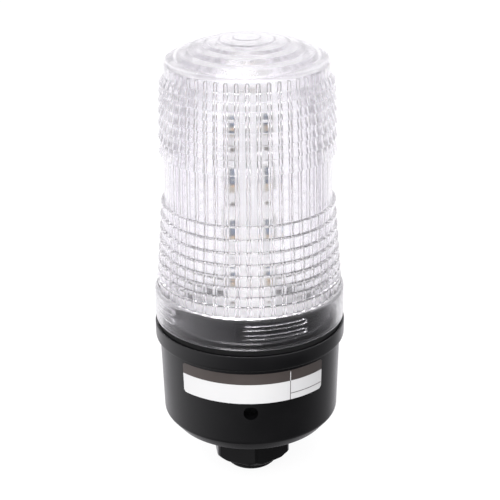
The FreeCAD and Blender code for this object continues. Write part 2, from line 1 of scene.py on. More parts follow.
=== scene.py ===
import json
import math

import bpy
from mathutils import Matrix, Vector


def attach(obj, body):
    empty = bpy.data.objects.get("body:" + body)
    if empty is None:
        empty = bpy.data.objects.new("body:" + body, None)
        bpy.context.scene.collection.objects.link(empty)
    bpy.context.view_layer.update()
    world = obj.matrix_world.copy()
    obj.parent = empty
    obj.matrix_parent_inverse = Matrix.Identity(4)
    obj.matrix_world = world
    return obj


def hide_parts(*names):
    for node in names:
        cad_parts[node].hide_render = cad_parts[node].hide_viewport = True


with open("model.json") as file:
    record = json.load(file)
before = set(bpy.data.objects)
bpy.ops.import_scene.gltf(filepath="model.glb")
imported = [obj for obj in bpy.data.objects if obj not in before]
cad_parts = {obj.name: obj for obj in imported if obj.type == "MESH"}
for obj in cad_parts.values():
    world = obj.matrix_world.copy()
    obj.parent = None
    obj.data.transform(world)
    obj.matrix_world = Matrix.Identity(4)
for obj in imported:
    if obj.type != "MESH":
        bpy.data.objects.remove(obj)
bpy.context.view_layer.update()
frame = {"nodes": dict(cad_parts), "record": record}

# Looks of a signal light: a clear ringed lens over an LED pillar, on a black cup with a threaded stud.
# Lengths are in millimetres and turned to metres where points are made.
# Azimuth 0 faces -Y, the side with the sound port, and grows towards +X.

MM = 0.001
SHARP_ANGLE = 35.0
FINE_STEPS = 6

# Lens, outside
LENS_BOTTOM = 43.0
SKIRT_RADIUS = 35.0
SKIRT_INNER = 33.1
SKIRT_TOP = 54.0
SHOULDER_TOP = 55.3
SHOULDER_RADIUS = 33.3
LIP_ROUND = 1.5
EDGE_ROUND = 0.35
LENS_SHARP_ANGLE = 38.0
MID_BOTTOM = 88.4
MID_TOP = 106.2
MID_RADIUS = 30.4
CAP_BOTTOM = 134.5
CAP_TOP = 139.1
CAP_RADIUS = 29.06
CAP_LIFT = 0.2
CAP_ROUND = 1.2
DOME_FOOT = 140.2
DOME_EDGE = 28.16
DOME_ROUND = 0.8
DOME_SHELF = 2.0
DOME_RISE = 7.4
DOME_BANDS = 12

# Beads. Their steps shrink by a ratio. An edge is the first crest's way from the smooth band, and a
# run-out is the last one's way to the skirt or the cap.
LOWER_BEADS = 8
LOWER_FOOT_RADIUS = 33.95
LOWER_TOP_RADIUS = 31.7
LOWER_RATIO = 0.95
LOWER_EDGE = 0.5
LOWER_RUN_OUT = 3.3
UPPER_BEADS = 7
UPPER_RADIUS = 31.8
UPPER_CROWN = 0.85
UPPER_RATIO = 0.89
UPPER_EDGE = 0.8
UPPER_RUN_OUT = 2.5
BEAD_DEPTH = 1.1
BEAD_STEPS = 3
BEAD_BOW = 0.1
CREST_ROUND = 0.62
CREST_ANGLES = (75, 45, 15)
VALLEY_GAP = 0.05

# Lens, inside
FLUTES = 48
RIB_DEPTH = 0.85
RIB_HALF = 0.21
RIB_ANGLES = [math.radians(degrees) for degrees in (-90, -60, -30, 0, 30, 60, 90)]
CELL_COLUMNS = [0.36, 0.64]
FLUTE_TOP = 137.8
FLUTE_TOP_RADIUS = 27.16
FLUTE_LEVELS = ((SKIRT_TOP, 31.5), (MID_BOTTOM, 28.8), (FLUTE_TOP, FLUTE_TOP_RADIUS))
FLUTE_ROWS = (128.0, 118.0, 108.0, 98.0, MID_BOTTOM, 80.0, 71.0, 62.0, SKIRT_TOP)
ARCH_RADIUS = 0.85
ARCH_ANGLES = (72, 55, 38, 20, 0)
ARCH_GAP = 0.3
ARCH_TIP_GAP = 0.25
ARCH_TIP_SHARE = 0.3
DOME_WALL = 2.4
DOME_RINGS = 5
RING_RADIUS = 24.2
RING_ROUND = 0.22
RING_STEPS = 3
RING_SLANT = 35.0

# Bayonet bars inside the skirt, each edge with its inset and its share of the reach
BAR_SECTORS = 4
BAR_START = -4.6
BAR_ARC = 41.0
BAR_HALF = 0.85
BAR_LEAST_HALF = 0.1
BAR_LEVELS = (51.05, 47.6)
BAR_REACH = 0.9
BAR_EDGES = ((0.0, 0.0), (0.04, 0.97), (0.1, 1.0))
SECTOR_MARGIN = 2.6
SECTOR_STEP = 0.12
SKIRT_EDGE = 0.3

# Cup
RIM_BOTTOM = 34.7
RIM_TOP = 41.0
RIM_RADIUS = 35.4
RIM_LOWER_ROUND = 1.35
RIM_UPPER_ROUND = 0.35
WALL_TOP_RADIUS = 33.8
WALL_FOOT_RADIUS = 33.0
WALL_TOP_ROUND = 0.3
BEVEL_TOP = 4.8
BEVEL_ROUND = 0.9
SEAT_RADIUS = 29.0
SEAT_ROUND = 0.5
NECK_RADIUS = 31.0
NECK_TOP = 53.4
NECK_ROUND = 0.3
NECK_STEP = 0.4
NECK_LUG_LEVELS = (48.75, 49.9)
NECK_LUG_RADIUS = 32.65
NECK_PLAY = 0.1
RIM_PLAY = 0.01
CAVITY_RADIUS = 29.0
CAVITY_ROUND = 0.8
FLOOR_TOP = 3.2
CUP_COLUMNS = 192
PORT_RADIUS = 2.65
PORT_HEIGHT = 17.4
PORT_SIDES = 64
PORT_DRILL = (CAVITY_RADIUS - 6, RIM_RADIUS + 2)

# Stud and nut. The turned corners of the nut are rises over its lower face and the radius gained there.
STUD_RADIUS = 10.0
STUD_END = -20.6
STUD_CHAMFER = 1.2
STUD_HOLE = STUD_RADIUS - 0.5
STUD_ROOT = (STUD_RADIUS - 1.0, 0.5)
STUD_SHARP_ANGLE = 50.0
CABLE_RADIUS = 6.5
THREAD_PITCH = 1.5
THREAD_DEPTH = 0.8
THREAD_LEAD = 0.2
THREAD_TOP = 0.4
THREAD_STEEPNESS = 2.6
THREAD_CREST = 0.15
THREAD_COLUMNS = 96
THREAD_ROWS_A_TURN = 12
NUT_TOP = -5.5
NUT_BOTTOM = -16.0
NUT_FLATS = 27.5
NUT_TURN = -22.6
NUT_SIDE_COLUMNS = 24
NUT_CORNER_CUT = 0.35
NUT_CHAMFER = 1.6
NUT_TURNED = ((0.0, 0.0), (0.3, 0.06), (0.7, 0.35), (1.2, 0.85), (1.6, 1.3), (2.4, 2.1), (3.2, 2.9))
NUT_EDGE = 0.3
NUT_BORE = 10.06
NUT_BORE_CHAMFER = 0.6
NUT_SHARP_ANGLE = 25.0

# Label on the wall of the cup, bare of words
LABEL_LOW = 21.4
LABEL_HIGH = 33.4
LABEL_LEFT = -46.3
LABEL_RIGHT = 50.3
LABEL_DIVIDER = 25.0
LABEL_HEADER = 0.64
LABEL_RULE = 0.2
LABEL_PROUD = 0.06
LABEL_CORNER = 1.0
LABEL_COLUMNS = 80
LINE_WIDTH = 0.28
LINE_PROUD = LABEL_PROUD + 0.01
DIVIDER_TOP_GAP = 0.6
RULE_END_GAP = 0.5

# Boards and lamps
PILLAR_HALF = 8.25
PILLAR_TURN = math.radians(4.7)
BOARD_THICKNESS = 1.6
DECK_TOP = 51.5
PILLAR_TOP = 126.0
CAP_PLATE_TOP = PILLAR_TOP + BOARD_THICKNESS
LED_WIDTH = 3.2
LED_HEIGHT = 7.0
LED_DEPTH = 1.0
LED_MARGIN = 0.45
LED_ROWS = 4
LED_ROW_PITCH = 16.6
TOP_LED_GAP = 0.3
TOP_LED_LENGTH = 2.8

# One lamp. A die has its left and right edges, its lower and upper edges as shares of the window's half
# length, and its material number.
FRAME, WINDOW, BLUE, RESIN, ORANGE, FEET = range(6)
FRAME_LIFT = 0.05
FRAME_BEVEL = 0.12
FRAME_EDGE = 0.4
FRAME_SUNK = 0.02
WINDOW_HALF = 1.15
WINDOW_DEPTH = 0.1
WINDOW_BEVEL = 0.03
RESIN_SHARE = 0.1
DIES = (
    (-0.75, 0.75, RESIN_SHARE, 0.35, BLUE),
    (-0.55, 0.8, 0.45, 0.6, FRAME),
    (-0.6, 0.6, 0.7, 0.9, BLUE),
    (-0.7, 0.7, -0.3, -0.16, ORANGE),
)
DIE_DEPTH = 0.05
DIE_PROUD = 0.015
DIE_BEVEL = 0.02
FOOT_WIDTH = 0.37
FOOT_OUT = 0.12
FOOT_HEIGHT = 0.3
FOOT_BEVEL = 0.04
FOOT_SPACING = 0.33
FOOT_HALF_SHARE = 0.09

# Chip resistors and screws
CHIP_DROP = 4.2
CHIP_HALF_LENGTH = 0.9
CHIP_HALF_WIDTH = 0.55
CHIP_HEIGHT = 0.5
CHIP_END_HALF = 0.6
CHIP_END_HEIGHT = 0.55
CHIP_END_LENGTH = 0.45
CHIP_END_STARTS = (-1.25, 0.8)
CHIP_BEVEL = 0.05
SCREW_CIRCLE = 24.6
SCREW_COLUMNS = 32
SCREW_PROFILE = ((2.1, 0.0), (2.1, 0.6), (1.9, 1.0), (1.4, 1.3), (0.9, 1.42))
SCREW_TURN = 0.7
SLOT_RADIUS = 0.9
SLOT_SHARE = 0.5
SLOT_DEPTHS = (0.9, 0.85)

# Camera, fitted to the rings of the photograph
CAMERA_PLACE = (0.34, -439.0, 245.0)
CAMERA_PITCH = 22.03
CAMERA_ROLL = -0.62
CAMERA_CLIP = 0.01
PHOTO_WIDTH = 500
FOCAL_PIXELS = 1284
SENSOR = 36.0

# Floor and backdrop. The floor's height is in millimetres, just below the stud, and the rest is in metres.
FLOOR_HEIGHT = STUD_END - 0.1
FLOOR_REACH = 4.0
FLOOR_GLOW = 0.9
BACKDROP_AWAY = 1.2
BACKDROP_HALF_WIDTH = 1.6
BACKDROP_HALF_HEIGHT = 0.75
BACKDROP_GLOW = 1.09

# Lights in metres and watts
LIGHT_AIM = (0, 0, 0.06)
KEY_PLACE = (-0.2, -0.8, 0.8)
KEY_SIZE = (1.0, 0.8)
KEY_POWER = 19.0
TOP_PLACE = (0.0, 0.1, 1.3)
TOP_SIZE = (1.0, 1.0)
TOP_POWER = 3.5
CLEAR_BOUNCES = 32
MIRROR_BOUNCES = 16

# Light tent: its dark and white, the side of its white wall, and the steps along that side, the depth and
# the height over which it turns white or dims
TENT_DARK = (0.1, 0.1, 0.105)
TENT_WHITE = (1.105, 1.09, 1.13)
TENT_LEFT = (-0.7, 0.714, 0.0)
TENT_WALL = (-0.85, 0.8)
TENT_BACK = (0.35, 0.8)
TENT_ROOF = (-0.42, -0.12)
TENT_BELOW = (-1.0, -0.34)
TENT_ABOVE = (4.0, -0.2)

# Drift of the materials: where noise turns from low to high, its scales, and how far gloss and grain go
NOISE_LOW = 0.3
NOISE_HIGH = 0.7
PLASTIC_DRIFT = 60.0
PLASTIC_GLOSS = 0.05
METAL_DRIFT = 900.0
METAL_GLOSS = 0.08
GRAIN_HEIGHT = 0.00004

# Looks of the CAD nodes by slot: dark and light colour, roughness, grain and its strength
NODE_LOOKS = {
    "white_board": ((0.90, 0.90, 0.885), (0.94, 0.94, 0.925), 0.3, 1800.0, 0.06),
    "gasket_rubber": ((0.001, 0.001, 0.001), (0.002, 0.002, 0.002), 0.8, 1500.0, 0.2),
    "core_grey": ((0.05, 0.05, 0.055), (0.09, 0.09, 0.095), 0.75, 1200.0, 0.4),
    "winding_tape": ((0.62, 0.44, 0.05), (0.74, 0.55, 0.09), 0.3, 500.0, 0.15),
    "capacitor_film": ((0.3, 0.04, 0.02), (0.4, 0.07, 0.035), 0.25, 700.0, 0.15),
    "epoxy_black": ((0.003, 0.003, 0.0034), (0.006, 0.006, 0.0066), 0.6, 2600.0, 0.3),
    "fuse_brown": ((0.09, 0.04, 0.02), (0.14, 0.065, 0.03), 0.35, 1500.0, 0.15),
    "capacitor_sleeve": ((0.012, 0.02, 0.06), (0.02, 0.032, 0.09), 0.28, 900.0, 0.1),
    "terminal_green": ((0.03, 0.2, 0.05), (0.05, 0.27, 0.075), 0.4, 1800.0, 0.15),
}
# The pillar's cap: the same white board made darker, as painted shade on the top of the pillar
CAP_BOARD_SHADED_LOOK = ((0.6, 0.6, 0.585), (0.66, 0.66, 0.645), 0.35, 1800.0, 0.06)


def point_at(radius, azimuth, height):
    """A point in metres, from millimetres and an azimuth in radians."""
    return (radius * math.sin(azimuth) * MM, -radius * math.cos(azimuth) * MM, height * MM)


def even_azimuths(columns):
    return [2 * math.pi * column / columns for column in range(columns)]


def ring(radius, height, azimuths):
    return [point_at(radius, azimuth, height) for azimuth in azimuths]


def skin(rows, closed=False):
    """Vertices and faces of a surface through rings of points. A row of one point is a pole."""
    vertices = []
    starts = []
    for row in rows:
        starts.append(len(vertices))
        vertices.extend(row)
    pairs = list(zip(range(len(rows)), range(1, len(rows))))
    if closed:
        pairs.append((len(rows) - 1, 0))
    faces = []
    for low, high in pairs:
        width = max(len(rows[low]), len(rows[high]))
        for column in range(width):
            after = (column + 1) % width
            if len(rows[low]) == 1:
                corners = [starts[low], starts[high] + after, starts[high] + column]
            elif len(rows[high]) == 1:
                corners = [starts[low] + column, starts[low] + after, starts[high]]
            else:
                corners = [starts[low] + column, starts[low] + after]
                corners += [starts[high] + after, starts[high] + column]
            faces.append(corners)
    return vertices, faces


def new_piece(name, vertices, faces, body, materials, sharp=SHARP_ANGLE, kinds=None):
    """A mesh that rides on a body. kinds gives each face's material by its number."""
    mesh = bpy.data.meshes.new(name)
    mesh.from_pydata(vertices, [], faces)
    mesh.validate()
    for material in materials:
        mesh.materials.append(material)
    if kinds:
        mesh.polygons.foreach_set("material_index", kinds)
    mesh.polygons.foreach_set("use_smooth", [True] * len(mesh.polygons))
    mesh.set_sharp_from_angle(angle=math.radians(sharp))
    mesh.update()
    piece = bpy.data.objects.new(name, mesh)
    bpy.context.scene.collection.objects.link(piece)
    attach(piece, body)
    return piece


def rounded_outline(corners, steps=5):
    """A line through corners (radius, height, rounding), with each corner rounded off."""
    points = []
    for index, (x, y, rounding) in enumerate(corners):
        here = Vector((x, y))
        if rounding == 0 or index in (0, len(corners) - 1):
            points.append((x, y))
            continue
        before = Vector(corners[index - 1][:2])
        after = Vector(corners[index + 1][:2])
        start = here + (before - here).normalized() * rounding
        end = here + (after - here).normalized() * rounding
        for step in range(steps + 1):
            share = step / steps
            spot = start * (1 - share) ** 2 + here * 2 * share * (1 - share) + end * share ** 2
            points.append((spot.x, spot.y))
    return points


# Materials

def new_material(name, roughness, colour=None, **sockets):
    """A principled material with its even values set on the shader itself."""
    material = bpy.data.materials.new(name)
    material.use_nodes = True
    shader = material.node_tree.nodes["Principled BSDF"]
    shader.inputs["Roughness"].default_value = roughness
    if colour:
        shader.inputs["Base Color"].default_value = (*colour, 1)
    for socket, value in sockets.items():
        shader.inputs[socket.replace("_", " ")].default_value = value
    return material


def noise(material, scale, detail=4.0, stretch=(1, 1, 1)):
    """A noise texture in the object's own metres."""
    nodes = material.node_tree.nodes
    links = material.node_tree.links
    place = nodes.new("ShaderNodeTexCoord")
    mapping = nodes.new("ShaderNodeMapping")
    mapping.inputs["Scale"].default_value = stretch
    texture = nodes.new("ShaderNodeTexNoise")
    texture.inputs["Scale"].default_value = scale
    texture.inputs["Detail"].default_value = detail
    links.new(place.outputs["Object"], mapping.inputs["Vector"])
    links.new(mapping.outputs["Vector"], texture.inputs["Vector"])
    return texture.outputs["Fac"]


def vary_colour(material, source, low, high):
    nodes = material.node_tree.nodes
    ramp = nodes.new("ShaderNodeValToRGB")
    for element, position, colour in zip(ramp.color_ramp.elements, (NOISE_LOW, NOISE_HIGH), (low, high)):
        element.position = position
        element.color = (*colour, 1)
    material.node_tree.links.new(source, ramp.inputs["Fac"])
    material.node_tree.links.new(ramp.outputs["Color"], nodes["Principled BSDF"].inputs["Base Color"])


def vary_roughness(material, source, low, high):
    nodes = material.node_tree.nodes
    spread = nodes.new("ShaderNodeMapRange")
    spread.inputs["From Min"].default_value = NOISE_LOW
    spread.inputs["From Max"].default_value = NOISE_HIGH
    spread.inputs["To Min"].default_value = low
    spread.inputs["To Max"].default_value = high
    material.node_tree.links.new(source, spread.inputs["Value"])
    material.node_tree.links.new(spread.outputs["Result"], nodes["Principled BSDF"].inputs["Roughness"])


def add_bump(material, source, strength):
    nodes = material.node_tree.nodes
    bump = nodes.new("ShaderNodeBump")
    bump.inputs["Strength"].default_value = strength
    bump.inputs["Distance"].default_value = GRAIN_HEIGHT
    material.node_tree.links.new(source, bump.inputs["Height"])
    material.node_tree.links.new(bump.outputs["Normal"], nodes["Principled BSDF"].inputs["Normal"])


def moulded(name, low, high, roughness, grain=2600.0, strength=0.12, **sockets):
    """Plastic with a fine moulded grain and a slight drift of colour and gloss."""
    material = new_material(name, roughness, **sockets)
    drift = noise(material, PLASTIC_DRIFT)
    vary_colour(material, drift, low, high)
    vary_roughness(material, drift, roughness - PLASTIC_GLOSS, roughness + PLASTIC_GLOSS)
    add_bump(material, noise(material, grain, 3.0), strength)
    return material


def clear_plastic():
    """Clear plastic, a little rough so that the far side of the lens blurs."""
    material = new_material("clear_lens", 0.14, Transmission_Weight=1.0, IOR=1.5)
    drift = noise(material, 30.0, 2.0, (1, 1, 0.3))
    vary_colour(material, drift, (0.97, 0.957, 0.985), (0.982, 0.972, 0.993))
    vary_roughness(material, drift, 0.125, 0.15)
    return material


def metal(name, low, high, roughness):
    material = new_material(name, roughness, Metallic=1.0)
    drift = noise(material, METAL_DRIFT)
    vary_colour(material, drift, low, high)
    vary_roughness(material, drift, roughness - METAL_GLOSS, roughness + METAL_GLOSS)
    return material


def cup_black():
    dark, light = (0.002, 0.002, 0.0023), (0.0035, 0.0035, 0.0038)
    return moulded("cup_black", dark, light, 0.22, strength=0.06, Specular_IOR_Level=0.46)


def nut_black():
    """Black for the nut and the stud, duller than the cup."""
    dark, light = (0.0018, 0.0018, 0.002), (0.003, 0.003, 0.0033)
    return moulded("nut_black", dark, light, 0.26, strength=0.06, Specular_IOR_Level=0.3)


def neck_black():
    """Glossy black with faint turned lines, for the neck inside the skirt."""
    material = new_material("neck_black", 0.4, Specular_IOR_Level=0.85)
    lines = noise(material, 40.0, 6.0, (0.2, 0.2, 40.0))
    vary_colour(material, lines, (0.002, 0.002, 0.0023), (0.005, 0.005, 0.006))
    vary_roughness(material, lines, 0.14, 0.24)
    return material


# Lens

def crest_shares(count, ratio):
    """Shares of the way from the first crest to the last, in steps that shrink by a ratio."""
    return [(1 - ratio ** index) / (1 - ratio ** (count - 1)) for index in range(count)]


def lower_crests():
    """Crests below the smooth band, from the band down to the skirt."""
    first = MID_BOTTOM - LOWER_EDGE
    run = first - SHOULDER_TOP - LOWER_RUN_OUT
    spread = LOWER_FOOT_RADIUS - LOWER_TOP_RADIUS
    shares = crest_shares(LOWER_BEADS, LOWER_RATIO)
    return [(LOWER_TOP_RADIUS + spread * share, first - run * share) for share in shares]


def upper_crests():
    """Crests above the smooth band, from the band up to the cap."""
    first = MID_TOP + UPPER_EDGE
    run = CAP_BOTTOM - UPPER_RUN_OUT - first
    shares = crest_shares(UPPER_BEADS, UPPER_RATIO)
    return [(UPPER_RADIUS - UPPER_CROWN * share ** 2, first + run * share) for share in shares]


def beads(start, crests, end):
    """Prism beads away from the smooth band: a step out to each round crest, then a long slope in."""
    away = math.copysign(1, crests[-1][1] - crests[0][1])
    sink = away * (CREST_ROUND + VALLEY_GAP)
    valleys = [(radius - BEAD_DEPTH, height - sink) for radius, height in crests[1:]]
    points = [start]
    for (radius, height), valley in zip(crests, valleys + [end]):
        for degrees in CREST_ANGLES:
            angle = math.radians(degrees)
            drop = CREST_ROUND * (1 - math.cos(angle))
            points.append((radius - drop, height - away * CREST_ROUND * math.sin(angle)))
        for step in range(BEAD_STEPS + 1):
            share = step / BEAD_STEPS
            drop = (radius - valley[0]) * share * (1 - BEAD_BOW + BEAD_BOW * share)
            points.append((radius - drop, height + (valley[1] - height) * share))
    return points


def dome_height(radius):
    ball = (DOME_EDGE ** 2 + DOME_RISE ** 2) / (2 * DOME_RISE)
    return DOME_FOOT + DOME_RISE - ball + math.sqrt(ball ** 2 - radius ** 2)


def lens_outside():
    """Radius and height along the outside of the lens, from the skirt's lower edge to the dome."""
    shoulder = (SHOULDER_RADIUS, SHOULDER_TOP)
    shelf = DOME_EDGE - DOME_SHELF
    points = rounded_outline([
        (SKIRT_INNER, LENS_BOTTOM, 0),
        (SKIRT_RADIUS, LENS_BOTTOM, EDGE_ROUND),
        (SKIRT_RADIUS, SHOULDER_TOP, LIP_ROUND),
        (*shoulder, 0),
    ], FINE_STEPS)[1:]
    points += reversed(beads((MID_RADIUS, MID_BOTTOM), lower_crests(), shoulder)[:-1])
    points += beads((MID_RADIUS, MID_TOP), upper_crests(), (CAP_RADIUS, CAP_BOTTOM))
    points += rounded_outline([
        (CAP_RADIUS, CAP_BOTTOM + CAP_LIFT, 0),
        (CAP_RADIUS, CAP_TOP, CAP_ROUND),
        (DOME_EDGE, DOME_FOOT, DOME_ROUND),
        (shelf, dome_height(shelf), 0),
    ])
    for band in range(1, DOME_BANDS):
        radius = shelf * (1 - band / DOME_BANDS)
        points.append((radius, dome_height(radius)))
    return points


def flute_columns(narrowing=1.0):
    """Azimuths of all columns, with the ribs narrowed towards their middles."""
    pitch = 2 * math.pi / FLUTES
    offsets = [RIB_HALF * math.sin(angle) * narrowing for angle in RIB_ANGLES] + CELL_COLUMNS
    return [(flute + offset) * pitch for flute in range(FLUTES) for offset in offsets]


LENS_AZIMUTHS = flute_columns()


def flute_radius(height):
    """Radius of the wall between the ribs, straight from level to level."""
    foot, middle, head = FLUTE_LEVELS
    (low, low_radius), (high, high_radius) = (foot, middle) if height < MID_BOTTOM else (middle, head)
    return low_radius + (high_radius - low_radius) * (height - low) / (high - low)


def flute_row(height, depth=RIB_DEPTH, narrowing=1.0):
    """One ring of the fluted wall, with half-round ribs."""
    depths = [depth * math.cos(angle) for angle in RIB_ANGLES] + [0.0] * len(CELL_COLUMNS)
    radius = flute_radius(height)
    return [
        point_at(radius - depths[index % len(depths)], azimuth, height)
        for index, azimuth in enumerate(flute_columns(narrowing))
    ]


def flute_rows():
    """The fluted wall from its arched heads down to the ledge."""
    rows = [flute_row(FLUTE_TOP, 0.0), flute_row(FLUTE_TOP - ARCH_TIP_GAP, 0.0, ARCH_TIP_SHARE)]
    arch_foot = FLUTE_TOP - ARCH_GAP - ARCH_RADIUS
    for degrees in ARCH_ANGLES:
        angle = math.radians(degrees)
        height = arch_foot + ARCH_RADIUS * math.sin(angle)
        rows.append(flute_row(height, narrowing=math.cos(angle)))
    return rows + [flute_row(level) for level in FLUTE_ROWS]


def dome_ring_rows():
    """Rounded steps under the dome, from the middle out to the heads of the flutes."""
    corners = []
    floor = FLUTE_TOP
    for index in range(DOME_RINGS):
        radius = RING_RADIUS * (1 - index / DOME_RINGS)
        ceiling = dome_height(radius) - DOME_WALL
        corners.append((radius, floor, RING_ROUND))
        slant = (ceiling - floor) * math.tan(math.radians(RING_SLANT))
        corners.append((radius - slant, ceiling, RING_ROUND))
        floor = ceiling
    corners.append((0.0, floor, 0))
    corners.reverse()
    corners.append((FLUTE_TOP_RADIUS, FLUTE_TOP, 0))
    points = rounded_outline(corners, RING_STEPS)[1:-1]
    pole = [point_at(0, 0, floor)]
    return [pole] + [ring(radius, height, LENS_AZIMUTHS) for radius, height in points]


def sector_spot(azimuth):
    """Degrees from the start of the nearest pair of bars."""
    pitch = 360 / BAR_SECTORS
    return (math.degrees(azimuth) - BAR_START + SECTOR_MARGIN) % pitch - SECTOR_MARGIN


def bar_half_height(azimuth):
    """Half the height of a bar at an azimuth, nought away from it, with round ends."""
    spot = sector_spot(azimuth)
    reach = math.radians(min(spot, BAR_ARC - spot)) * SKIRT_INNER
    if reach <= 0:
        return 0.0
    if reach >= BAR_HALF:
        return BAR_HALF
    return math.sqrt(BAR_HALF ** 2 - (BAR_HALF - reach) ** 2)


def skirt_radius_at(azimuth):
    """Inner radius of the skirt, with a small step beside each pair of bars as a mould line."""
    inside = -SECTOR_MARGIN < sector_spot(azimuth) < BAR_ARC + SECTOR_MARGIN
    return SKIRT_INNER if inside else SKIRT_INNER + SECTOR_STEP


def skirt_row(height):
    return [point_at(skirt_radius_at(azimuth), azimuth, height) for azimuth in LENS_AZIMUTHS]


def bar_rows(level):
    """Rings over one row of bars, from above it to below it."""
    section = [(1, *edge) for edge in BAR_EDGES] + [(-1, *edge) for edge in reversed(BAR_EDGES)]
    rows = []
    for side, inset, reach in section:
        row = []
        for azimuth in LENS_AZIMUTHS:
            half = bar_half_height(azimuth)
            radius = skirt_radius_at(azimuth) - (BAR_REACH * reach if half else 0)
            height = max(half - inset, BAR_LEAST_HALF) if half else BAR_HALF - inset
            row.append(point_at(radius, azimuth, level + side * height))
        rows.append(row)
    return rows


def lens():
    """The whole lens as one closed skin: outside up, then inside down, then over the lower edge."""
    outside = [ring(radius, height, LENS_AZIMUTHS) for radius, height in lens_outside()]
    apex = [point_at(0, 0, dome_height(0))]
    inside = dome_ring_rows() + flute_rows()
    inside.append(skirt_row(SKIRT_TOP))
    for level in BAR_LEVELS:
        inside += bar_rows(level)
    inside += [skirt_row(LENS_BOTTOM + SKIRT_EDGE), skirt_row(LENS_BOTTOM)]
    vertices, faces = skin(outside + [apex])
    inner_vertices, inner_faces = skin(inside)
    shift = len(vertices)
    faces += [[corner + shift for corner in face] for face in inner_faces]
    vertices += inner_vertices
    columns = len(LENS_AZIMUTHS)
    last = len(vertices) - columns
    for column in range(columns):
        after = (column + 1) % columns
        faces.append([last + column, last + after, after, column])
    plastic = [clear_plastic()]
    piece = new_piece("lens_moulding", vertices, faces, "lens", plastic, LENS_SHARP_ANGLE)
    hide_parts("lens")


# Cup, stud and nut

def wall_radius(height):
    share = (height - BEVEL_TOP) / (RIM_BOTTOM - BEVEL_TOP)
    return WALL_FOOT_RADIUS + (WALL_TOP_RADIUS - WALL_FOOT_RADIUS) * share


def neck_lug_rows(azimuths):
    """Rings over the lugs of the neck, which run between the bars of the lens."""
    low, high = NECK_LUG_LEVELS
    inner, outer = NECK_RADIUS, NECK_LUG_RADIUS
    rows = []
    for level, lug_radius in ((low, inner), (low, outer), (high, outer), (high, inner)):
        row = []
        for azimuth in azimuths:
            on_lug = 0 < sector_spot(azimuth) < BAR_ARC
            row.append(point_at(lug_radius if on_lug else inner, azimuth, level))
        rows.append(row)
    return rows


def port_drill():
    """A round rod through the front of the cup, to drill the sound port with."""
    vertices = []
    for depth in PORT_DRILL:
        for azimuth in even_azimuths(PORT_SIDES):
            x = PORT_RADIUS * math.sin(azimuth)
            z = PORT_HEIGHT + PORT_RADIUS * math.cos(azimuth)
            vertices.append((x * MM, -depth * MM, z * MM))
    faces = []
    for column in range(PORT_SIDES):
        after = (column + 1) % PORT_SIDES
        faces.append([column, column + PORT_SIDES, after + PORT_SIDES, after])
    faces += [list(range(PORT_SIDES)), list(reversed(range(PORT_SIDES, 2 * PORT_SIDES)))]
    mesh = bpy.data.meshes.new("port_drill")
    mesh.from_pydata(vertices, [], faces)
    drill = bpy.data.objects.new("port_drill", mesh)
    bpy.context.scene.collection.objects.link(drill)
    return drill


def cut_round_port(piece):
    drill = port_drill()
    modifier = piece.modifiers.new("port", "BOOLEAN")
    modifier.object = drill
    modifier.operation = "DIFFERENCE"
    modifier.solver = "EXACT"
    graph = bpy.context.evaluated_depsgraph_get()
    result = bpy.data.meshes.new_from_object(piece.evaluated_get(graph))
    piece.modifiers.clear()
    piece.data = result
    result.set_sharp_from_angle(angle=math.radians(SHARP_ANGLE))
    bpy.data.objects.remove(drill)


def is_neck(vertices, face):
    """Whether a face of the cup lies on the neck, above the rim."""
    heights = [vertices[corner][2] / MM for corner in face]
    radii = [math.hypot(*vertices[corner][:2]) / MM for corner in face]
    return min(heights) > RIM_TOP - RIM_PLAY and max(radii) < NECK_LUG_RADIUS + NECK_PLAY


def cup(black):
    """The cup with its neck and lugs, as a closed turned skin over the stud."""
    azimuths = even_azimuths(CUP_COLUMNS)
    below = rounded_outline([
        (STUD_HOLE, 0.0, 0),
        (SEAT_RADIUS, 0.0, SEAT_ROUND),
        (WALL_FOOT_RADIUS, BEVEL_TOP, BEVEL_ROUND),
        (WALL_TOP_RADIUS, RIM_BOTTOM, WALL_TOP_ROUND),
        (RIM_RADIUS, RIM_BOTTOM, RIM_LOWER_ROUND),
        (RIM_RADIUS, RIM_TOP, RIM_UPPER_ROUND),
        (NECK_RADIUS, RIM_TOP, 0),
    ], FINE_STEPS)
    above = rounded_outline([
        (NECK_RADIUS, NECK_LUG_LEVELS[1] + NECK_STEP, 0),
        (NECK_RADIUS, NECK_TOP, NECK_ROUND),
        (CAVITY_RADIUS, NECK_TOP, NECK_ROUND),
        (CAVITY_RADIUS, FLOOR_TOP, CAVITY_ROUND),
        (STUD_HOLE, FLOOR_TOP, 0),
    ])
    rows = [ring(radius, height, azimuths) for radius, height in below]
    rows += neck_lug_rows(azimuths)
    rows += [ring(radius, height, azimuths) for radius, height in above]
    vertices, faces = skin(rows, closed=True)
    kinds = [1 if is_neck(vertices, face) else 0 for face in faces]
    piece = new_piece("cup", vertices, faces, "base", [black, neck_black()], kinds=kinds)
    cut_round_port(piece)
    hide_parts("housing")


def thread_radius(azimuth, height):
    """Radius on the right-handed thread of the stud."""
    phase = (height / THREAD_PITCH - azimuth / (2 * math.pi)) % 1
    flank = min(max(abs(phase - 0.5) * THREAD_STEEPNESS - THREAD_CREST, 0.0), 1.0)
    return STUD_RADIUS - THREAD_DEPTH * flank


def threaded_rows(low, high):
    """Rings up the thread, with the lower ones drawn in to a cone as the stud's chamfer."""
    azimuths = even_azimuths(THREAD_COLUMNS)
    steps = round((high - low) / THREAD_PITCH * THREAD_ROWS_A_TURN)
    rows = []
    for step in range(steps + 1):
        height = low + (high - low) * step / steps
        cone = STUD_RADIUS - STUD_CHAMFER + height - STUD_END
        rows.append([
            point_at(min(thread_radius(azimuth, height), cone), azimuth, height) for azimuth in azimuths
        ])
    return rows


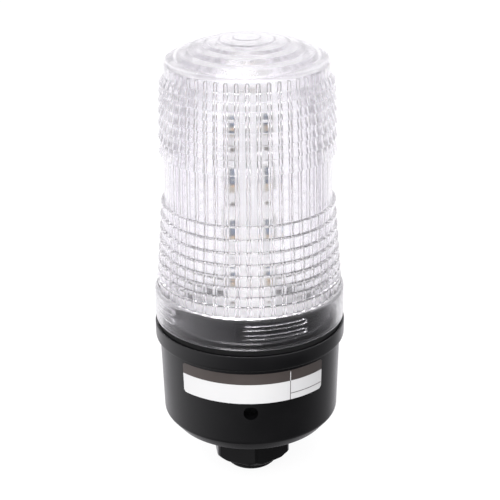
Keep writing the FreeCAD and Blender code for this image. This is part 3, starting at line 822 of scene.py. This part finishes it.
def stud(black):
    """The hollow stud with its thread and a chamfered end."""
    azimuths = even_azimuths(THREAD_COLUMNS)
    end = ((CABLE_RADIUS, STUD_END), (STUD_RADIUS - STUD_CHAMFER, STUD_END))
    rows = [ring(radius, height, azimuths) for radius, height in end]
    rows += threaded_rows(STUD_END + THREAD_LEAD, THREAD_TOP)
    rows += [ring(*STUD_ROOT, azimuths), ring(CABLE_RADIUS, FLOOR_TOP, azimuths)]
    vertices, faces = skin(rows, closed=True)
    new_piece("stud", vertices, faces, "base", [black], STUD_SHARP_ANGLE)


def hexagon_radius(offset):
    """Reach of the nut's hexagon at an angle from its turn, with its corners cut a little."""
    apothem = NUT_FLATS / 2
    sixth = math.pi / 3
    corner = apothem / math.cos(sixth / 2)
    from_flat = (offset + sixth / 2) % sixth - sixth / 2
    return min(apothem / math.cos(from_flat), corner - NUT_CORNER_CUT)


def nut(black):
    """The hexagon nut, with its corners turned off below and a plain chamfered bore."""
    offsets = even_azimuths(6 * NUT_SIDE_COLUMNS)
    turn = math.radians(NUT_TURN)
    azimuths = [turn + offset for offset in offsets]
    turned_radius = NUT_FLATS / 2 / math.cos(math.pi / 6) - NUT_CHAMFER
    tall = NUT_TOP - NUT_BOTTOM
    profile = [*NUT_TURNED, (tall - NUT_EDGE, math.inf), (tall, math.inf)]
    rows = [ring(NUT_BORE + NUT_BORE_CHAMFER, NUT_BOTTOM, azimuths)]
    for index, (rise, gain) in enumerate(profile):
        inset = NUT_EDGE if index in (0, len(profile) - 1) else 0.0
        row = []
        for offset in offsets:
            radius = min(hexagon_radius(offset), turned_radius + gain) - inset
            row.append(point_at(radius, turn + offset, NUT_BOTTOM + rise))
        rows.append(row)
    rows.append(ring(NUT_BORE + NUT_BORE_CHAMFER, NUT_TOP, azimuths))
    rows.append(ring(NUT_BORE, NUT_TOP - NUT_BORE_CHAMFER, azimuths))
    rows.append(ring(NUT_BORE, NUT_BOTTOM + NUT_BORE_CHAMFER, azimuths))
    vertices, faces = skin(rows, closed=True)
    piece = new_piece("nut", vertices, faces, "nut", [black], NUT_SHARP_ANGLE)
    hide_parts("mounting_nut")


# Label

def label_patch(low, high, left, right, proud, corners=(0, 0)):
    """A bent patch on the wall. corners gives the rounding of its lower and of its upper corners."""
    vertices = []
    reach = math.radians(right - left) * WALL_TOP_RADIUS
    for row, rounding in enumerate(corners):
        for column in range(LABEL_COLUMNS + 1):
            share = column / LABEL_COLUMNS
            inset = min(share, 1 - share) * reach
            lost = rounding - math.sqrt(max(0.0, rounding ** 2 - max(0.0, rounding - inset) ** 2))
            height = high - lost if row else low + lost
            azimuth = math.radians(left + (right - left) * share)
            vertices.append(point_at(wall_radius(height) + proud, azimuth, height))
    faces = []
    for column in range(LABEL_COLUMNS):
        over = column + LABEL_COLUMNS + 1
        faces.append([column, column + 1, over + 1, over])
    return vertices, faces


def label():
    """A bare label: a dark header over a white field, parted by thin lines."""
    white = moulded("label_white", (0.575, 0.575, 0.575), (0.605, 0.605, 0.6), 0.36, 5000.0, 0.03)
    brown = moulded("label_brown", (0.045, 0.037, 0.034), (0.06, 0.05, 0.046), 0.36, 5000.0, 0.03)
    tall = LABEL_HIGH - LABEL_LOW
    header = LABEL_LOW + tall * LABEL_HEADER
    rule = LABEL_LOW + tall * LABEL_RULE
    divider = (LABEL_DIVIDER, LABEL_DIVIDER + math.degrees(LINE_WIDTH / WALL_TOP_RADIUS))
    whole = (LABEL_LEFT, LABEL_RIGHT)
    right_field = (LABEL_DIVIDER, LABEL_RIGHT - RULE_END_GAP)
    patches = [
        (label_patch(LABEL_LOW, header, *whole, LABEL_PROUD, (LABEL_CORNER, 0)), 0),
        (label_patch(header, LABEL_HIGH, *whole, LABEL_PROUD, (0, LABEL_CORNER)), 1),
        (label_patch(header, LABEL_HIGH - DIVIDER_TOP_GAP, *divider, LINE_PROUD), 0),
        (label_patch(LABEL_LOW, header, *divider, LINE_PROUD), 1),
        (label_patch(rule, rule + LINE_WIDTH, *right_field, LINE_PROUD), 1),
    ]
    vertices, faces, kinds = joined(patches, [Matrix.Identity(4)])
    new_piece("label", vertices, faces, "base", [white, brown], kinds=kinds)


# Boards and lamps

def block(low, high, bevel):
    """A box with bevelled edges, as vertices and faces."""
    (x0, y0, z0), (x1, y1, z1) = low, high
    loop = [
        (x0 + bevel, y0), (x1 - bevel, y0), (x1, y0 + bevel), (x1, y1 - bevel),
        (x1 - bevel, y1), (x0 + bevel, y1), (x0, y1 - bevel), (x0, y0 + bevel),
    ]
    inner = [
        (min(max(x, x0 + bevel), x1 - bevel), min(max(y, y0 + bevel), y1 - bevel)) for x, y in loop
    ]
    levels = [(inner, z0), (loop, z0 + bevel), (loop, z1 - bevel), (inner, z1)]
    rows = [[(x * MM, y * MM, z * MM) for x, y in line] for line, z in levels]
    vertices, faces = skin(rows)
    sides = len(loop)
    faces.append(list(reversed(range(sides))))
    faces.append(list(range(3 * sides, 4 * sides)))
    return vertices, faces


def lamp_feet(length):
    """Two rows of three feet beside a lamp."""
    half_foot = length * FOOT_HALF_SHARE
    feet = []
    for x in (-LED_WIDTH / 2 - FOOT_OUT, LED_WIDTH / 2 - FOOT_WIDTH + FOOT_OUT):
        for index in (-1, 0, 1):
            y = index * length * FOOT_SPACING
            high = (x + FOOT_WIDTH, y + half_foot, FOOT_HEIGHT)
            feet.append((block((x, y - half_foot, 0.0), high, FOOT_BEVEL), FEET))
    return feet


def lamp_parts(length):
    """One lamp, lying on its back: frame, resin, window, dies and feet, each with its material number."""
    half_width = LED_WIDTH / 2
    half_length = length / 2
    window = half_length - FRAME_EDGE
    split = -window * RESIN_SHARE
    top = LED_DEPTH
    foot = top - WINDOW_DEPTH
    frame_low = (-half_width, -half_length, FRAME_LIFT)
    frame_high = (half_width, half_length, top - FRAME_SUNK)
    parts = [
        (block(frame_low, frame_high, FRAME_BEVEL), FRAME),
        (block((-WINDOW_HALF, -window, foot), (WINDOW_HALF, split, top), WINDOW_BEVEL), RESIN),
        (block((-WINDOW_HALF, split, foot), (WINDOW_HALF, window, top), WINDOW_BEVEL), WINDOW),
    ]
    for left, right, low, high, kind in DIES:
        corner = (right, window * high, top + DIE_PROUD)
        parts.append((block((left, window * low, top - DIE_DEPTH), corner, DIE_BEVEL), kind))
    return parts + lamp_feet(length)


def joined(parts, places):
    """Parts set at several places, as one list of vertices, faces and material numbers."""
    vertices = []
    faces = []
    kinds = []
    for place in places:
        for (part_vertices, part_faces), kind in parts:
            shift = len(vertices)
            vertices += [tuple(place @ Vector(spot)) for spot in part_vertices]
            faces += [[corner + shift for corner in face] for face in part_faces]
            kinds += [kind] * len(part_faces)
    return vertices, faces, kinds


def lamp_materials():
    """The materials of a lamp, in the order of their numbers."""
    return [
        moulded("lamp_frame", (0.74, 0.74, 0.71), (0.80, 0.80, 0.77), 0.4),
        moulded("lamp_window", (0.08, 0.092, 0.112), (0.14, 0.155, 0.18), 0.08, 900.0, 0.02),
        moulded("die_blue", (0.15, 0.21, 0.31), (0.23, 0.3, 0.41), 0.2, 4000.0, 0.05),
        moulded("lamp_resin", (0.46, 0.42, 0.35), (0.58, 0.54, 0.46), 0.15, 900.0, 0.02),
        moulded("die_orange", (0.72, 0.45, 0.24), (0.82, 0.56, 0.33), 0.2, 4000.0, 0.05),
        metal("lamp_feet", (0.62, 0.61, 0.58), (0.75, 0.74, 0.71), 0.3),
    ]


def lamp_places(quarter):
    """Where the lamps of one board stand: two columns of rows, with their backs on the board."""
    middle = (DECK_TOP + PILLAR_TOP) / 2
    half = PILLAR_HALF - BOARD_THICKNESS * (quarter % 2)
    edge = half - LED_MARGIN - LED_WIDTH / 2
    turn = Matrix.Rotation(quarter * math.pi / 2 + PILLAR_TURN, 4, "Z")
    stand_up = Matrix.Rotation(math.pi / 2, 4, "X")
    places = []
    for x in (-edge, edge):
        for row in range(LED_ROWS):
            z = middle + (row - (LED_ROWS - 1) / 2) * LED_ROW_PITCH
            places.append(turn @ Matrix.Translation(Vector((x, -PILLAR_HALF, z)) * MM) @ stand_up)
    return places


def lamps():
    """Four rows of two lamps on each board of the pillar, and two on its cap."""
    materials = lamp_materials()
    parts = lamp_parts(LED_HEIGHT)
    for quarter, side in enumerate(("front", "right", "rear", "left")):
        lamp_group(f"lamps_{side}", f"leds_{side}", parts, lamp_places(quarter), materials)
    apart = (TOP_LED_GAP + LED_WIDTH) / 2
    turn = Matrix.Rotation(PILLAR_TURN, 4, "Z")
    places = [turn @ Matrix.Translation(Vector((x, 0, CAP_PLATE_TOP)) * MM) for x in (-apart, apart)]
    lamp_group("lamps_top", "leds_top", lamp_parts(TOP_LED_LENGTH), places, materials)


def lamp_group(name, node, parts, places, materials):
    vertices, faces, kinds = joined(parts, places)
    piece = new_piece(name, vertices, faces, "base", materials, kinds=kinds)
    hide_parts(node)


def resistors():
    """A small chip resistor under every lamp of the boards: a dark body between two tinned ends."""
    dark = moulded("chip_body", (0.11, 0.09, 0.075), (0.16, 0.135, 0.11), 0.35, 3000.0, 0.05)
    tin = metal("chip_ends", (0.62, 0.61, 0.58), (0.75, 0.74, 0.71), 0.3)
    low = (-CHIP_HALF_LENGTH, -CHIP_HALF_WIDTH, 0.0)
    high = (CHIP_HALF_LENGTH, CHIP_HALF_WIDTH, CHIP_HEIGHT)
    parts = [(block(low, high, CHIP_BEVEL), 0)]
    for x in CHIP_END_STARTS:
        high = (x + CHIP_END_LENGTH, CHIP_END_HALF, CHIP_END_HEIGHT)
        parts.append((block((x, -CHIP_END_HALF, 0.0), high, CHIP_BEVEL), 1))
    drop = Matrix.Translation(Vector((0, -LED_HEIGHT / 2 - CHIP_DROP, 0)) * MM)
    places = [place @ drop for quarter in range(4) for place in lamp_places(quarter)]
    vertices, faces, kinds = joined(parts, places)
    new_piece("chip_resistors", vertices, faces, "base", [dark, tin], kinds=kinds)


def screws():
    """Pan-head screws with a slot, which hold the main board to the cup."""
    steel = metal("screw_steel", (0.5, 0.5, 0.49), (0.66, 0.66, 0.65), 0.28)
    azimuths = even_azimuths(SCREW_COLUMNS)
    slot_floor, slot_middle = SLOT_DEPTHS
    rows = [ring(radius, height, azimuths) for radius, height in SCREW_PROFILE]
    rows.append([(x * SLOT_SHARE, y, z) for x, y, z in ring(SLOT_RADIUS, slot_floor, azimuths)])
    rows.append([point_at(0, 0, slot_middle)])
    places = []
    for quarter in range(4):
        spot = point_at(SCREW_CIRCLE, math.radians(45 + 90 * quarter), DECK_TOP)
        places.append(Matrix.Translation(spot) @ Matrix.Rotation(SCREW_TURN * quarter, 4, "Z"))
    vertices, faces, kinds = joined([(skin(rows), 0)], places)
    new_piece("board_screws", vertices, faces, "base", [steel], kinds=kinds)


def dress_carried_nodes():
    """Materials for the CAD nodes that are carried over."""
    looks = {slot: moulded(slot, *values) for slot, values in NODE_LOOKS.items()}
    # The cap gets the darker copy of the white board, which is painted shade
    cap = moulded("cap_board_painted_shade", *CAP_BOARD_SHADED_LOOK)
    for subpart in frame["record"]["subparts"]:
        look = cap if subpart["node"] == "pillar_cap" else looks.get(subpart["material_slot"])
        if look:
            node = frame["nodes"][subpart["node"]]
            node.data.materials.clear()
            node.data.materials.append(look)


# Stage, light and camera

def card(name, corners, glow):
    """A flat card of the studio that glows white by itself."""
    mesh = bpy.data.meshes.new(name)
    mesh.from_pydata(corners, [], [[0, 1, 2, 3]])
    sheet = bpy.data.objects.new(name, mesh)
    white = new_material(name, 0.9, (0.1, 0.1, 0.1), Emission_Color=(1, 1, 1, 1), Emission_Strength=glow)
    mesh.materials.append(white)
    sheet.visible_glossy = False
    sheet.visible_diffuse = False
    bpy.context.scene.collection.objects.link(sheet)
    return sheet


def stage():
    """A pale floor under the stud, and a backdrop that only shows through the lens."""
    signs = [(-1, -1), (1, -1), (1, 1), (-1, 1)]
    corners = [(x * FLOOR_REACH, y * FLOOR_REACH, FLOOR_HEIGHT * MM) for x, y in signs]
    floor = card("floor", corners, FLOOR_GLOW)
    floor.visible_transmission = False
    corners = [(x * BACKDROP_HALF_WIDTH, BACKDROP_AWAY, z * BACKDROP_HALF_HEIGHT) for x, z in signs]
    backdrop = card("backdrop", corners, BACKDROP_GLOW)
    backdrop.visible_camera = False
    backdrop.visible_shadow = False


def camera():
    data = bpy.data.cameras.new("camera")
    data.sensor_width = SENSOR
    data.lens = SENSOR * FOCAL_PIXELS / PHOTO_WIDTH
    data.clip_start = CAMERA_CLIP
    view = bpy.data.objects.new("camera", data)
    tilt = Matrix.Rotation(math.radians(90 - CAMERA_PITCH), 4, "X")
    roll = Matrix.Rotation(math.radians(CAMERA_ROLL), 4, "Z")
    view.matrix_world = Matrix.Translation(Vector(CAMERA_PLACE) * MM) @ tilt @ roll
    bpy.context.scene.collection.objects.link(view)
    bpy.context.scene.camera = view


def softbox(name, place, size, power, mirrored=True):
    data = bpy.data.lights.new(name, "AREA")
    data.shape = "RECTANGLE"
    data.size, data.size_y = size
    data.energy = power
    light = bpy.data.objects.new(name, data)
    light.location = place
    light.visible_glossy = mirrored
    light.rotation_euler = (Vector(LIGHT_AIM) - Vector(place)).to_track_quat("-Z", "Y").to_euler()
    bpy.context.scene.collection.objects.link(light)


def graded(tree, source, low, high):
    """A straight rise from 0 to 1 between two values of a source."""
    step = tree.nodes.new("ShaderNodeMapRange")
    step.inputs["From Min"].default_value = low
    step.inputs["From Max"].default_value = high
    tree.links.new(source, step.inputs["Value"])
    return step.outputs["Result"]


def combined(tree, operation, first, second):
    """One number from two, by a maths node."""
    maths = tree.nodes.new("ShaderNodeMath")
    maths.operation = operation
    tree.links.new(first, maths.inputs[0])
    tree.links.new(second, maths.inputs[1])
    return maths.outputs["Value"]


def light_tent():
    """A tent, white from just below the horizon up, and lower only behind and on the left.

    It dims a little towards the top and goes dark straight below.
    """
    world = bpy.data.worlds.new("light_tent")
    world.use_nodes = True
    tree = world.node_tree
    place = tree.nodes.new("ShaderNodeTexCoord").outputs["Generated"]
    axes = tree.nodes.new("ShaderNodeSeparateXYZ")
    tree.links.new(place, axes.inputs["Vector"])
    leftward = tree.nodes.new("ShaderNodeVectorMath")
    leftward.operation = "DOT_PRODUCT"
    leftward.inputs[1].default_value = TENT_LEFT
    tree.links.new(place, leftward.inputs[0])
    height = axes.outputs["Z"]
    white = graded(tree, leftward.outputs["Value"], *TENT_WALL)
    white = combined(tree, "MAXIMUM", white, graded(tree, height, *TENT_ROOF))
    white = combined(tree, "MAXIMUM", white, graded(tree, axes.outputs["Y"], *TENT_BACK))
    white = combined(tree, "MULTIPLY", white, graded(tree, height, *TENT_BELOW))
    white = combined(tree, "MULTIPLY", white, graded(tree, height, *TENT_ABOVE))
    ramp = tree.nodes.new("ShaderNodeValToRGB")
    ramp.color_ramp.elements[0].color = (*TENT_DARK, 1)
    ramp.color_ramp.elements[1].color = (*TENT_WHITE, 1)
    tree.links.new(white, ramp.inputs["Fac"])
    tree.links.new(ramp.outputs["Color"], tree.nodes["Background"].inputs["Color"])
    bpy.context.scene.world = world


def studio():
    light_tent()
    softbox("key", KEY_PLACE, KEY_SIZE, KEY_POWER, mirrored=False)
    softbox("top", TOP_PLACE, TOP_SIZE, TOP_POWER)
    scene = bpy.context.scene
    scene.view_settings.view_transform = "Standard"
    scene.cycles.max_bounces = CLEAR_BOUNCES
    scene.cycles.transmission_bounces = CLEAR_BOUNCES
    scene.cycles.glossy_bounces = MIRROR_BOUNCES


black = cup_black()
dull_black = nut_black()
lens()
cup(black)
stud(dull_black)
nut(dull_black)
label()
lamps()
resistors()
screws()
dress_carried_nodes()
stage()
camera()
studio()
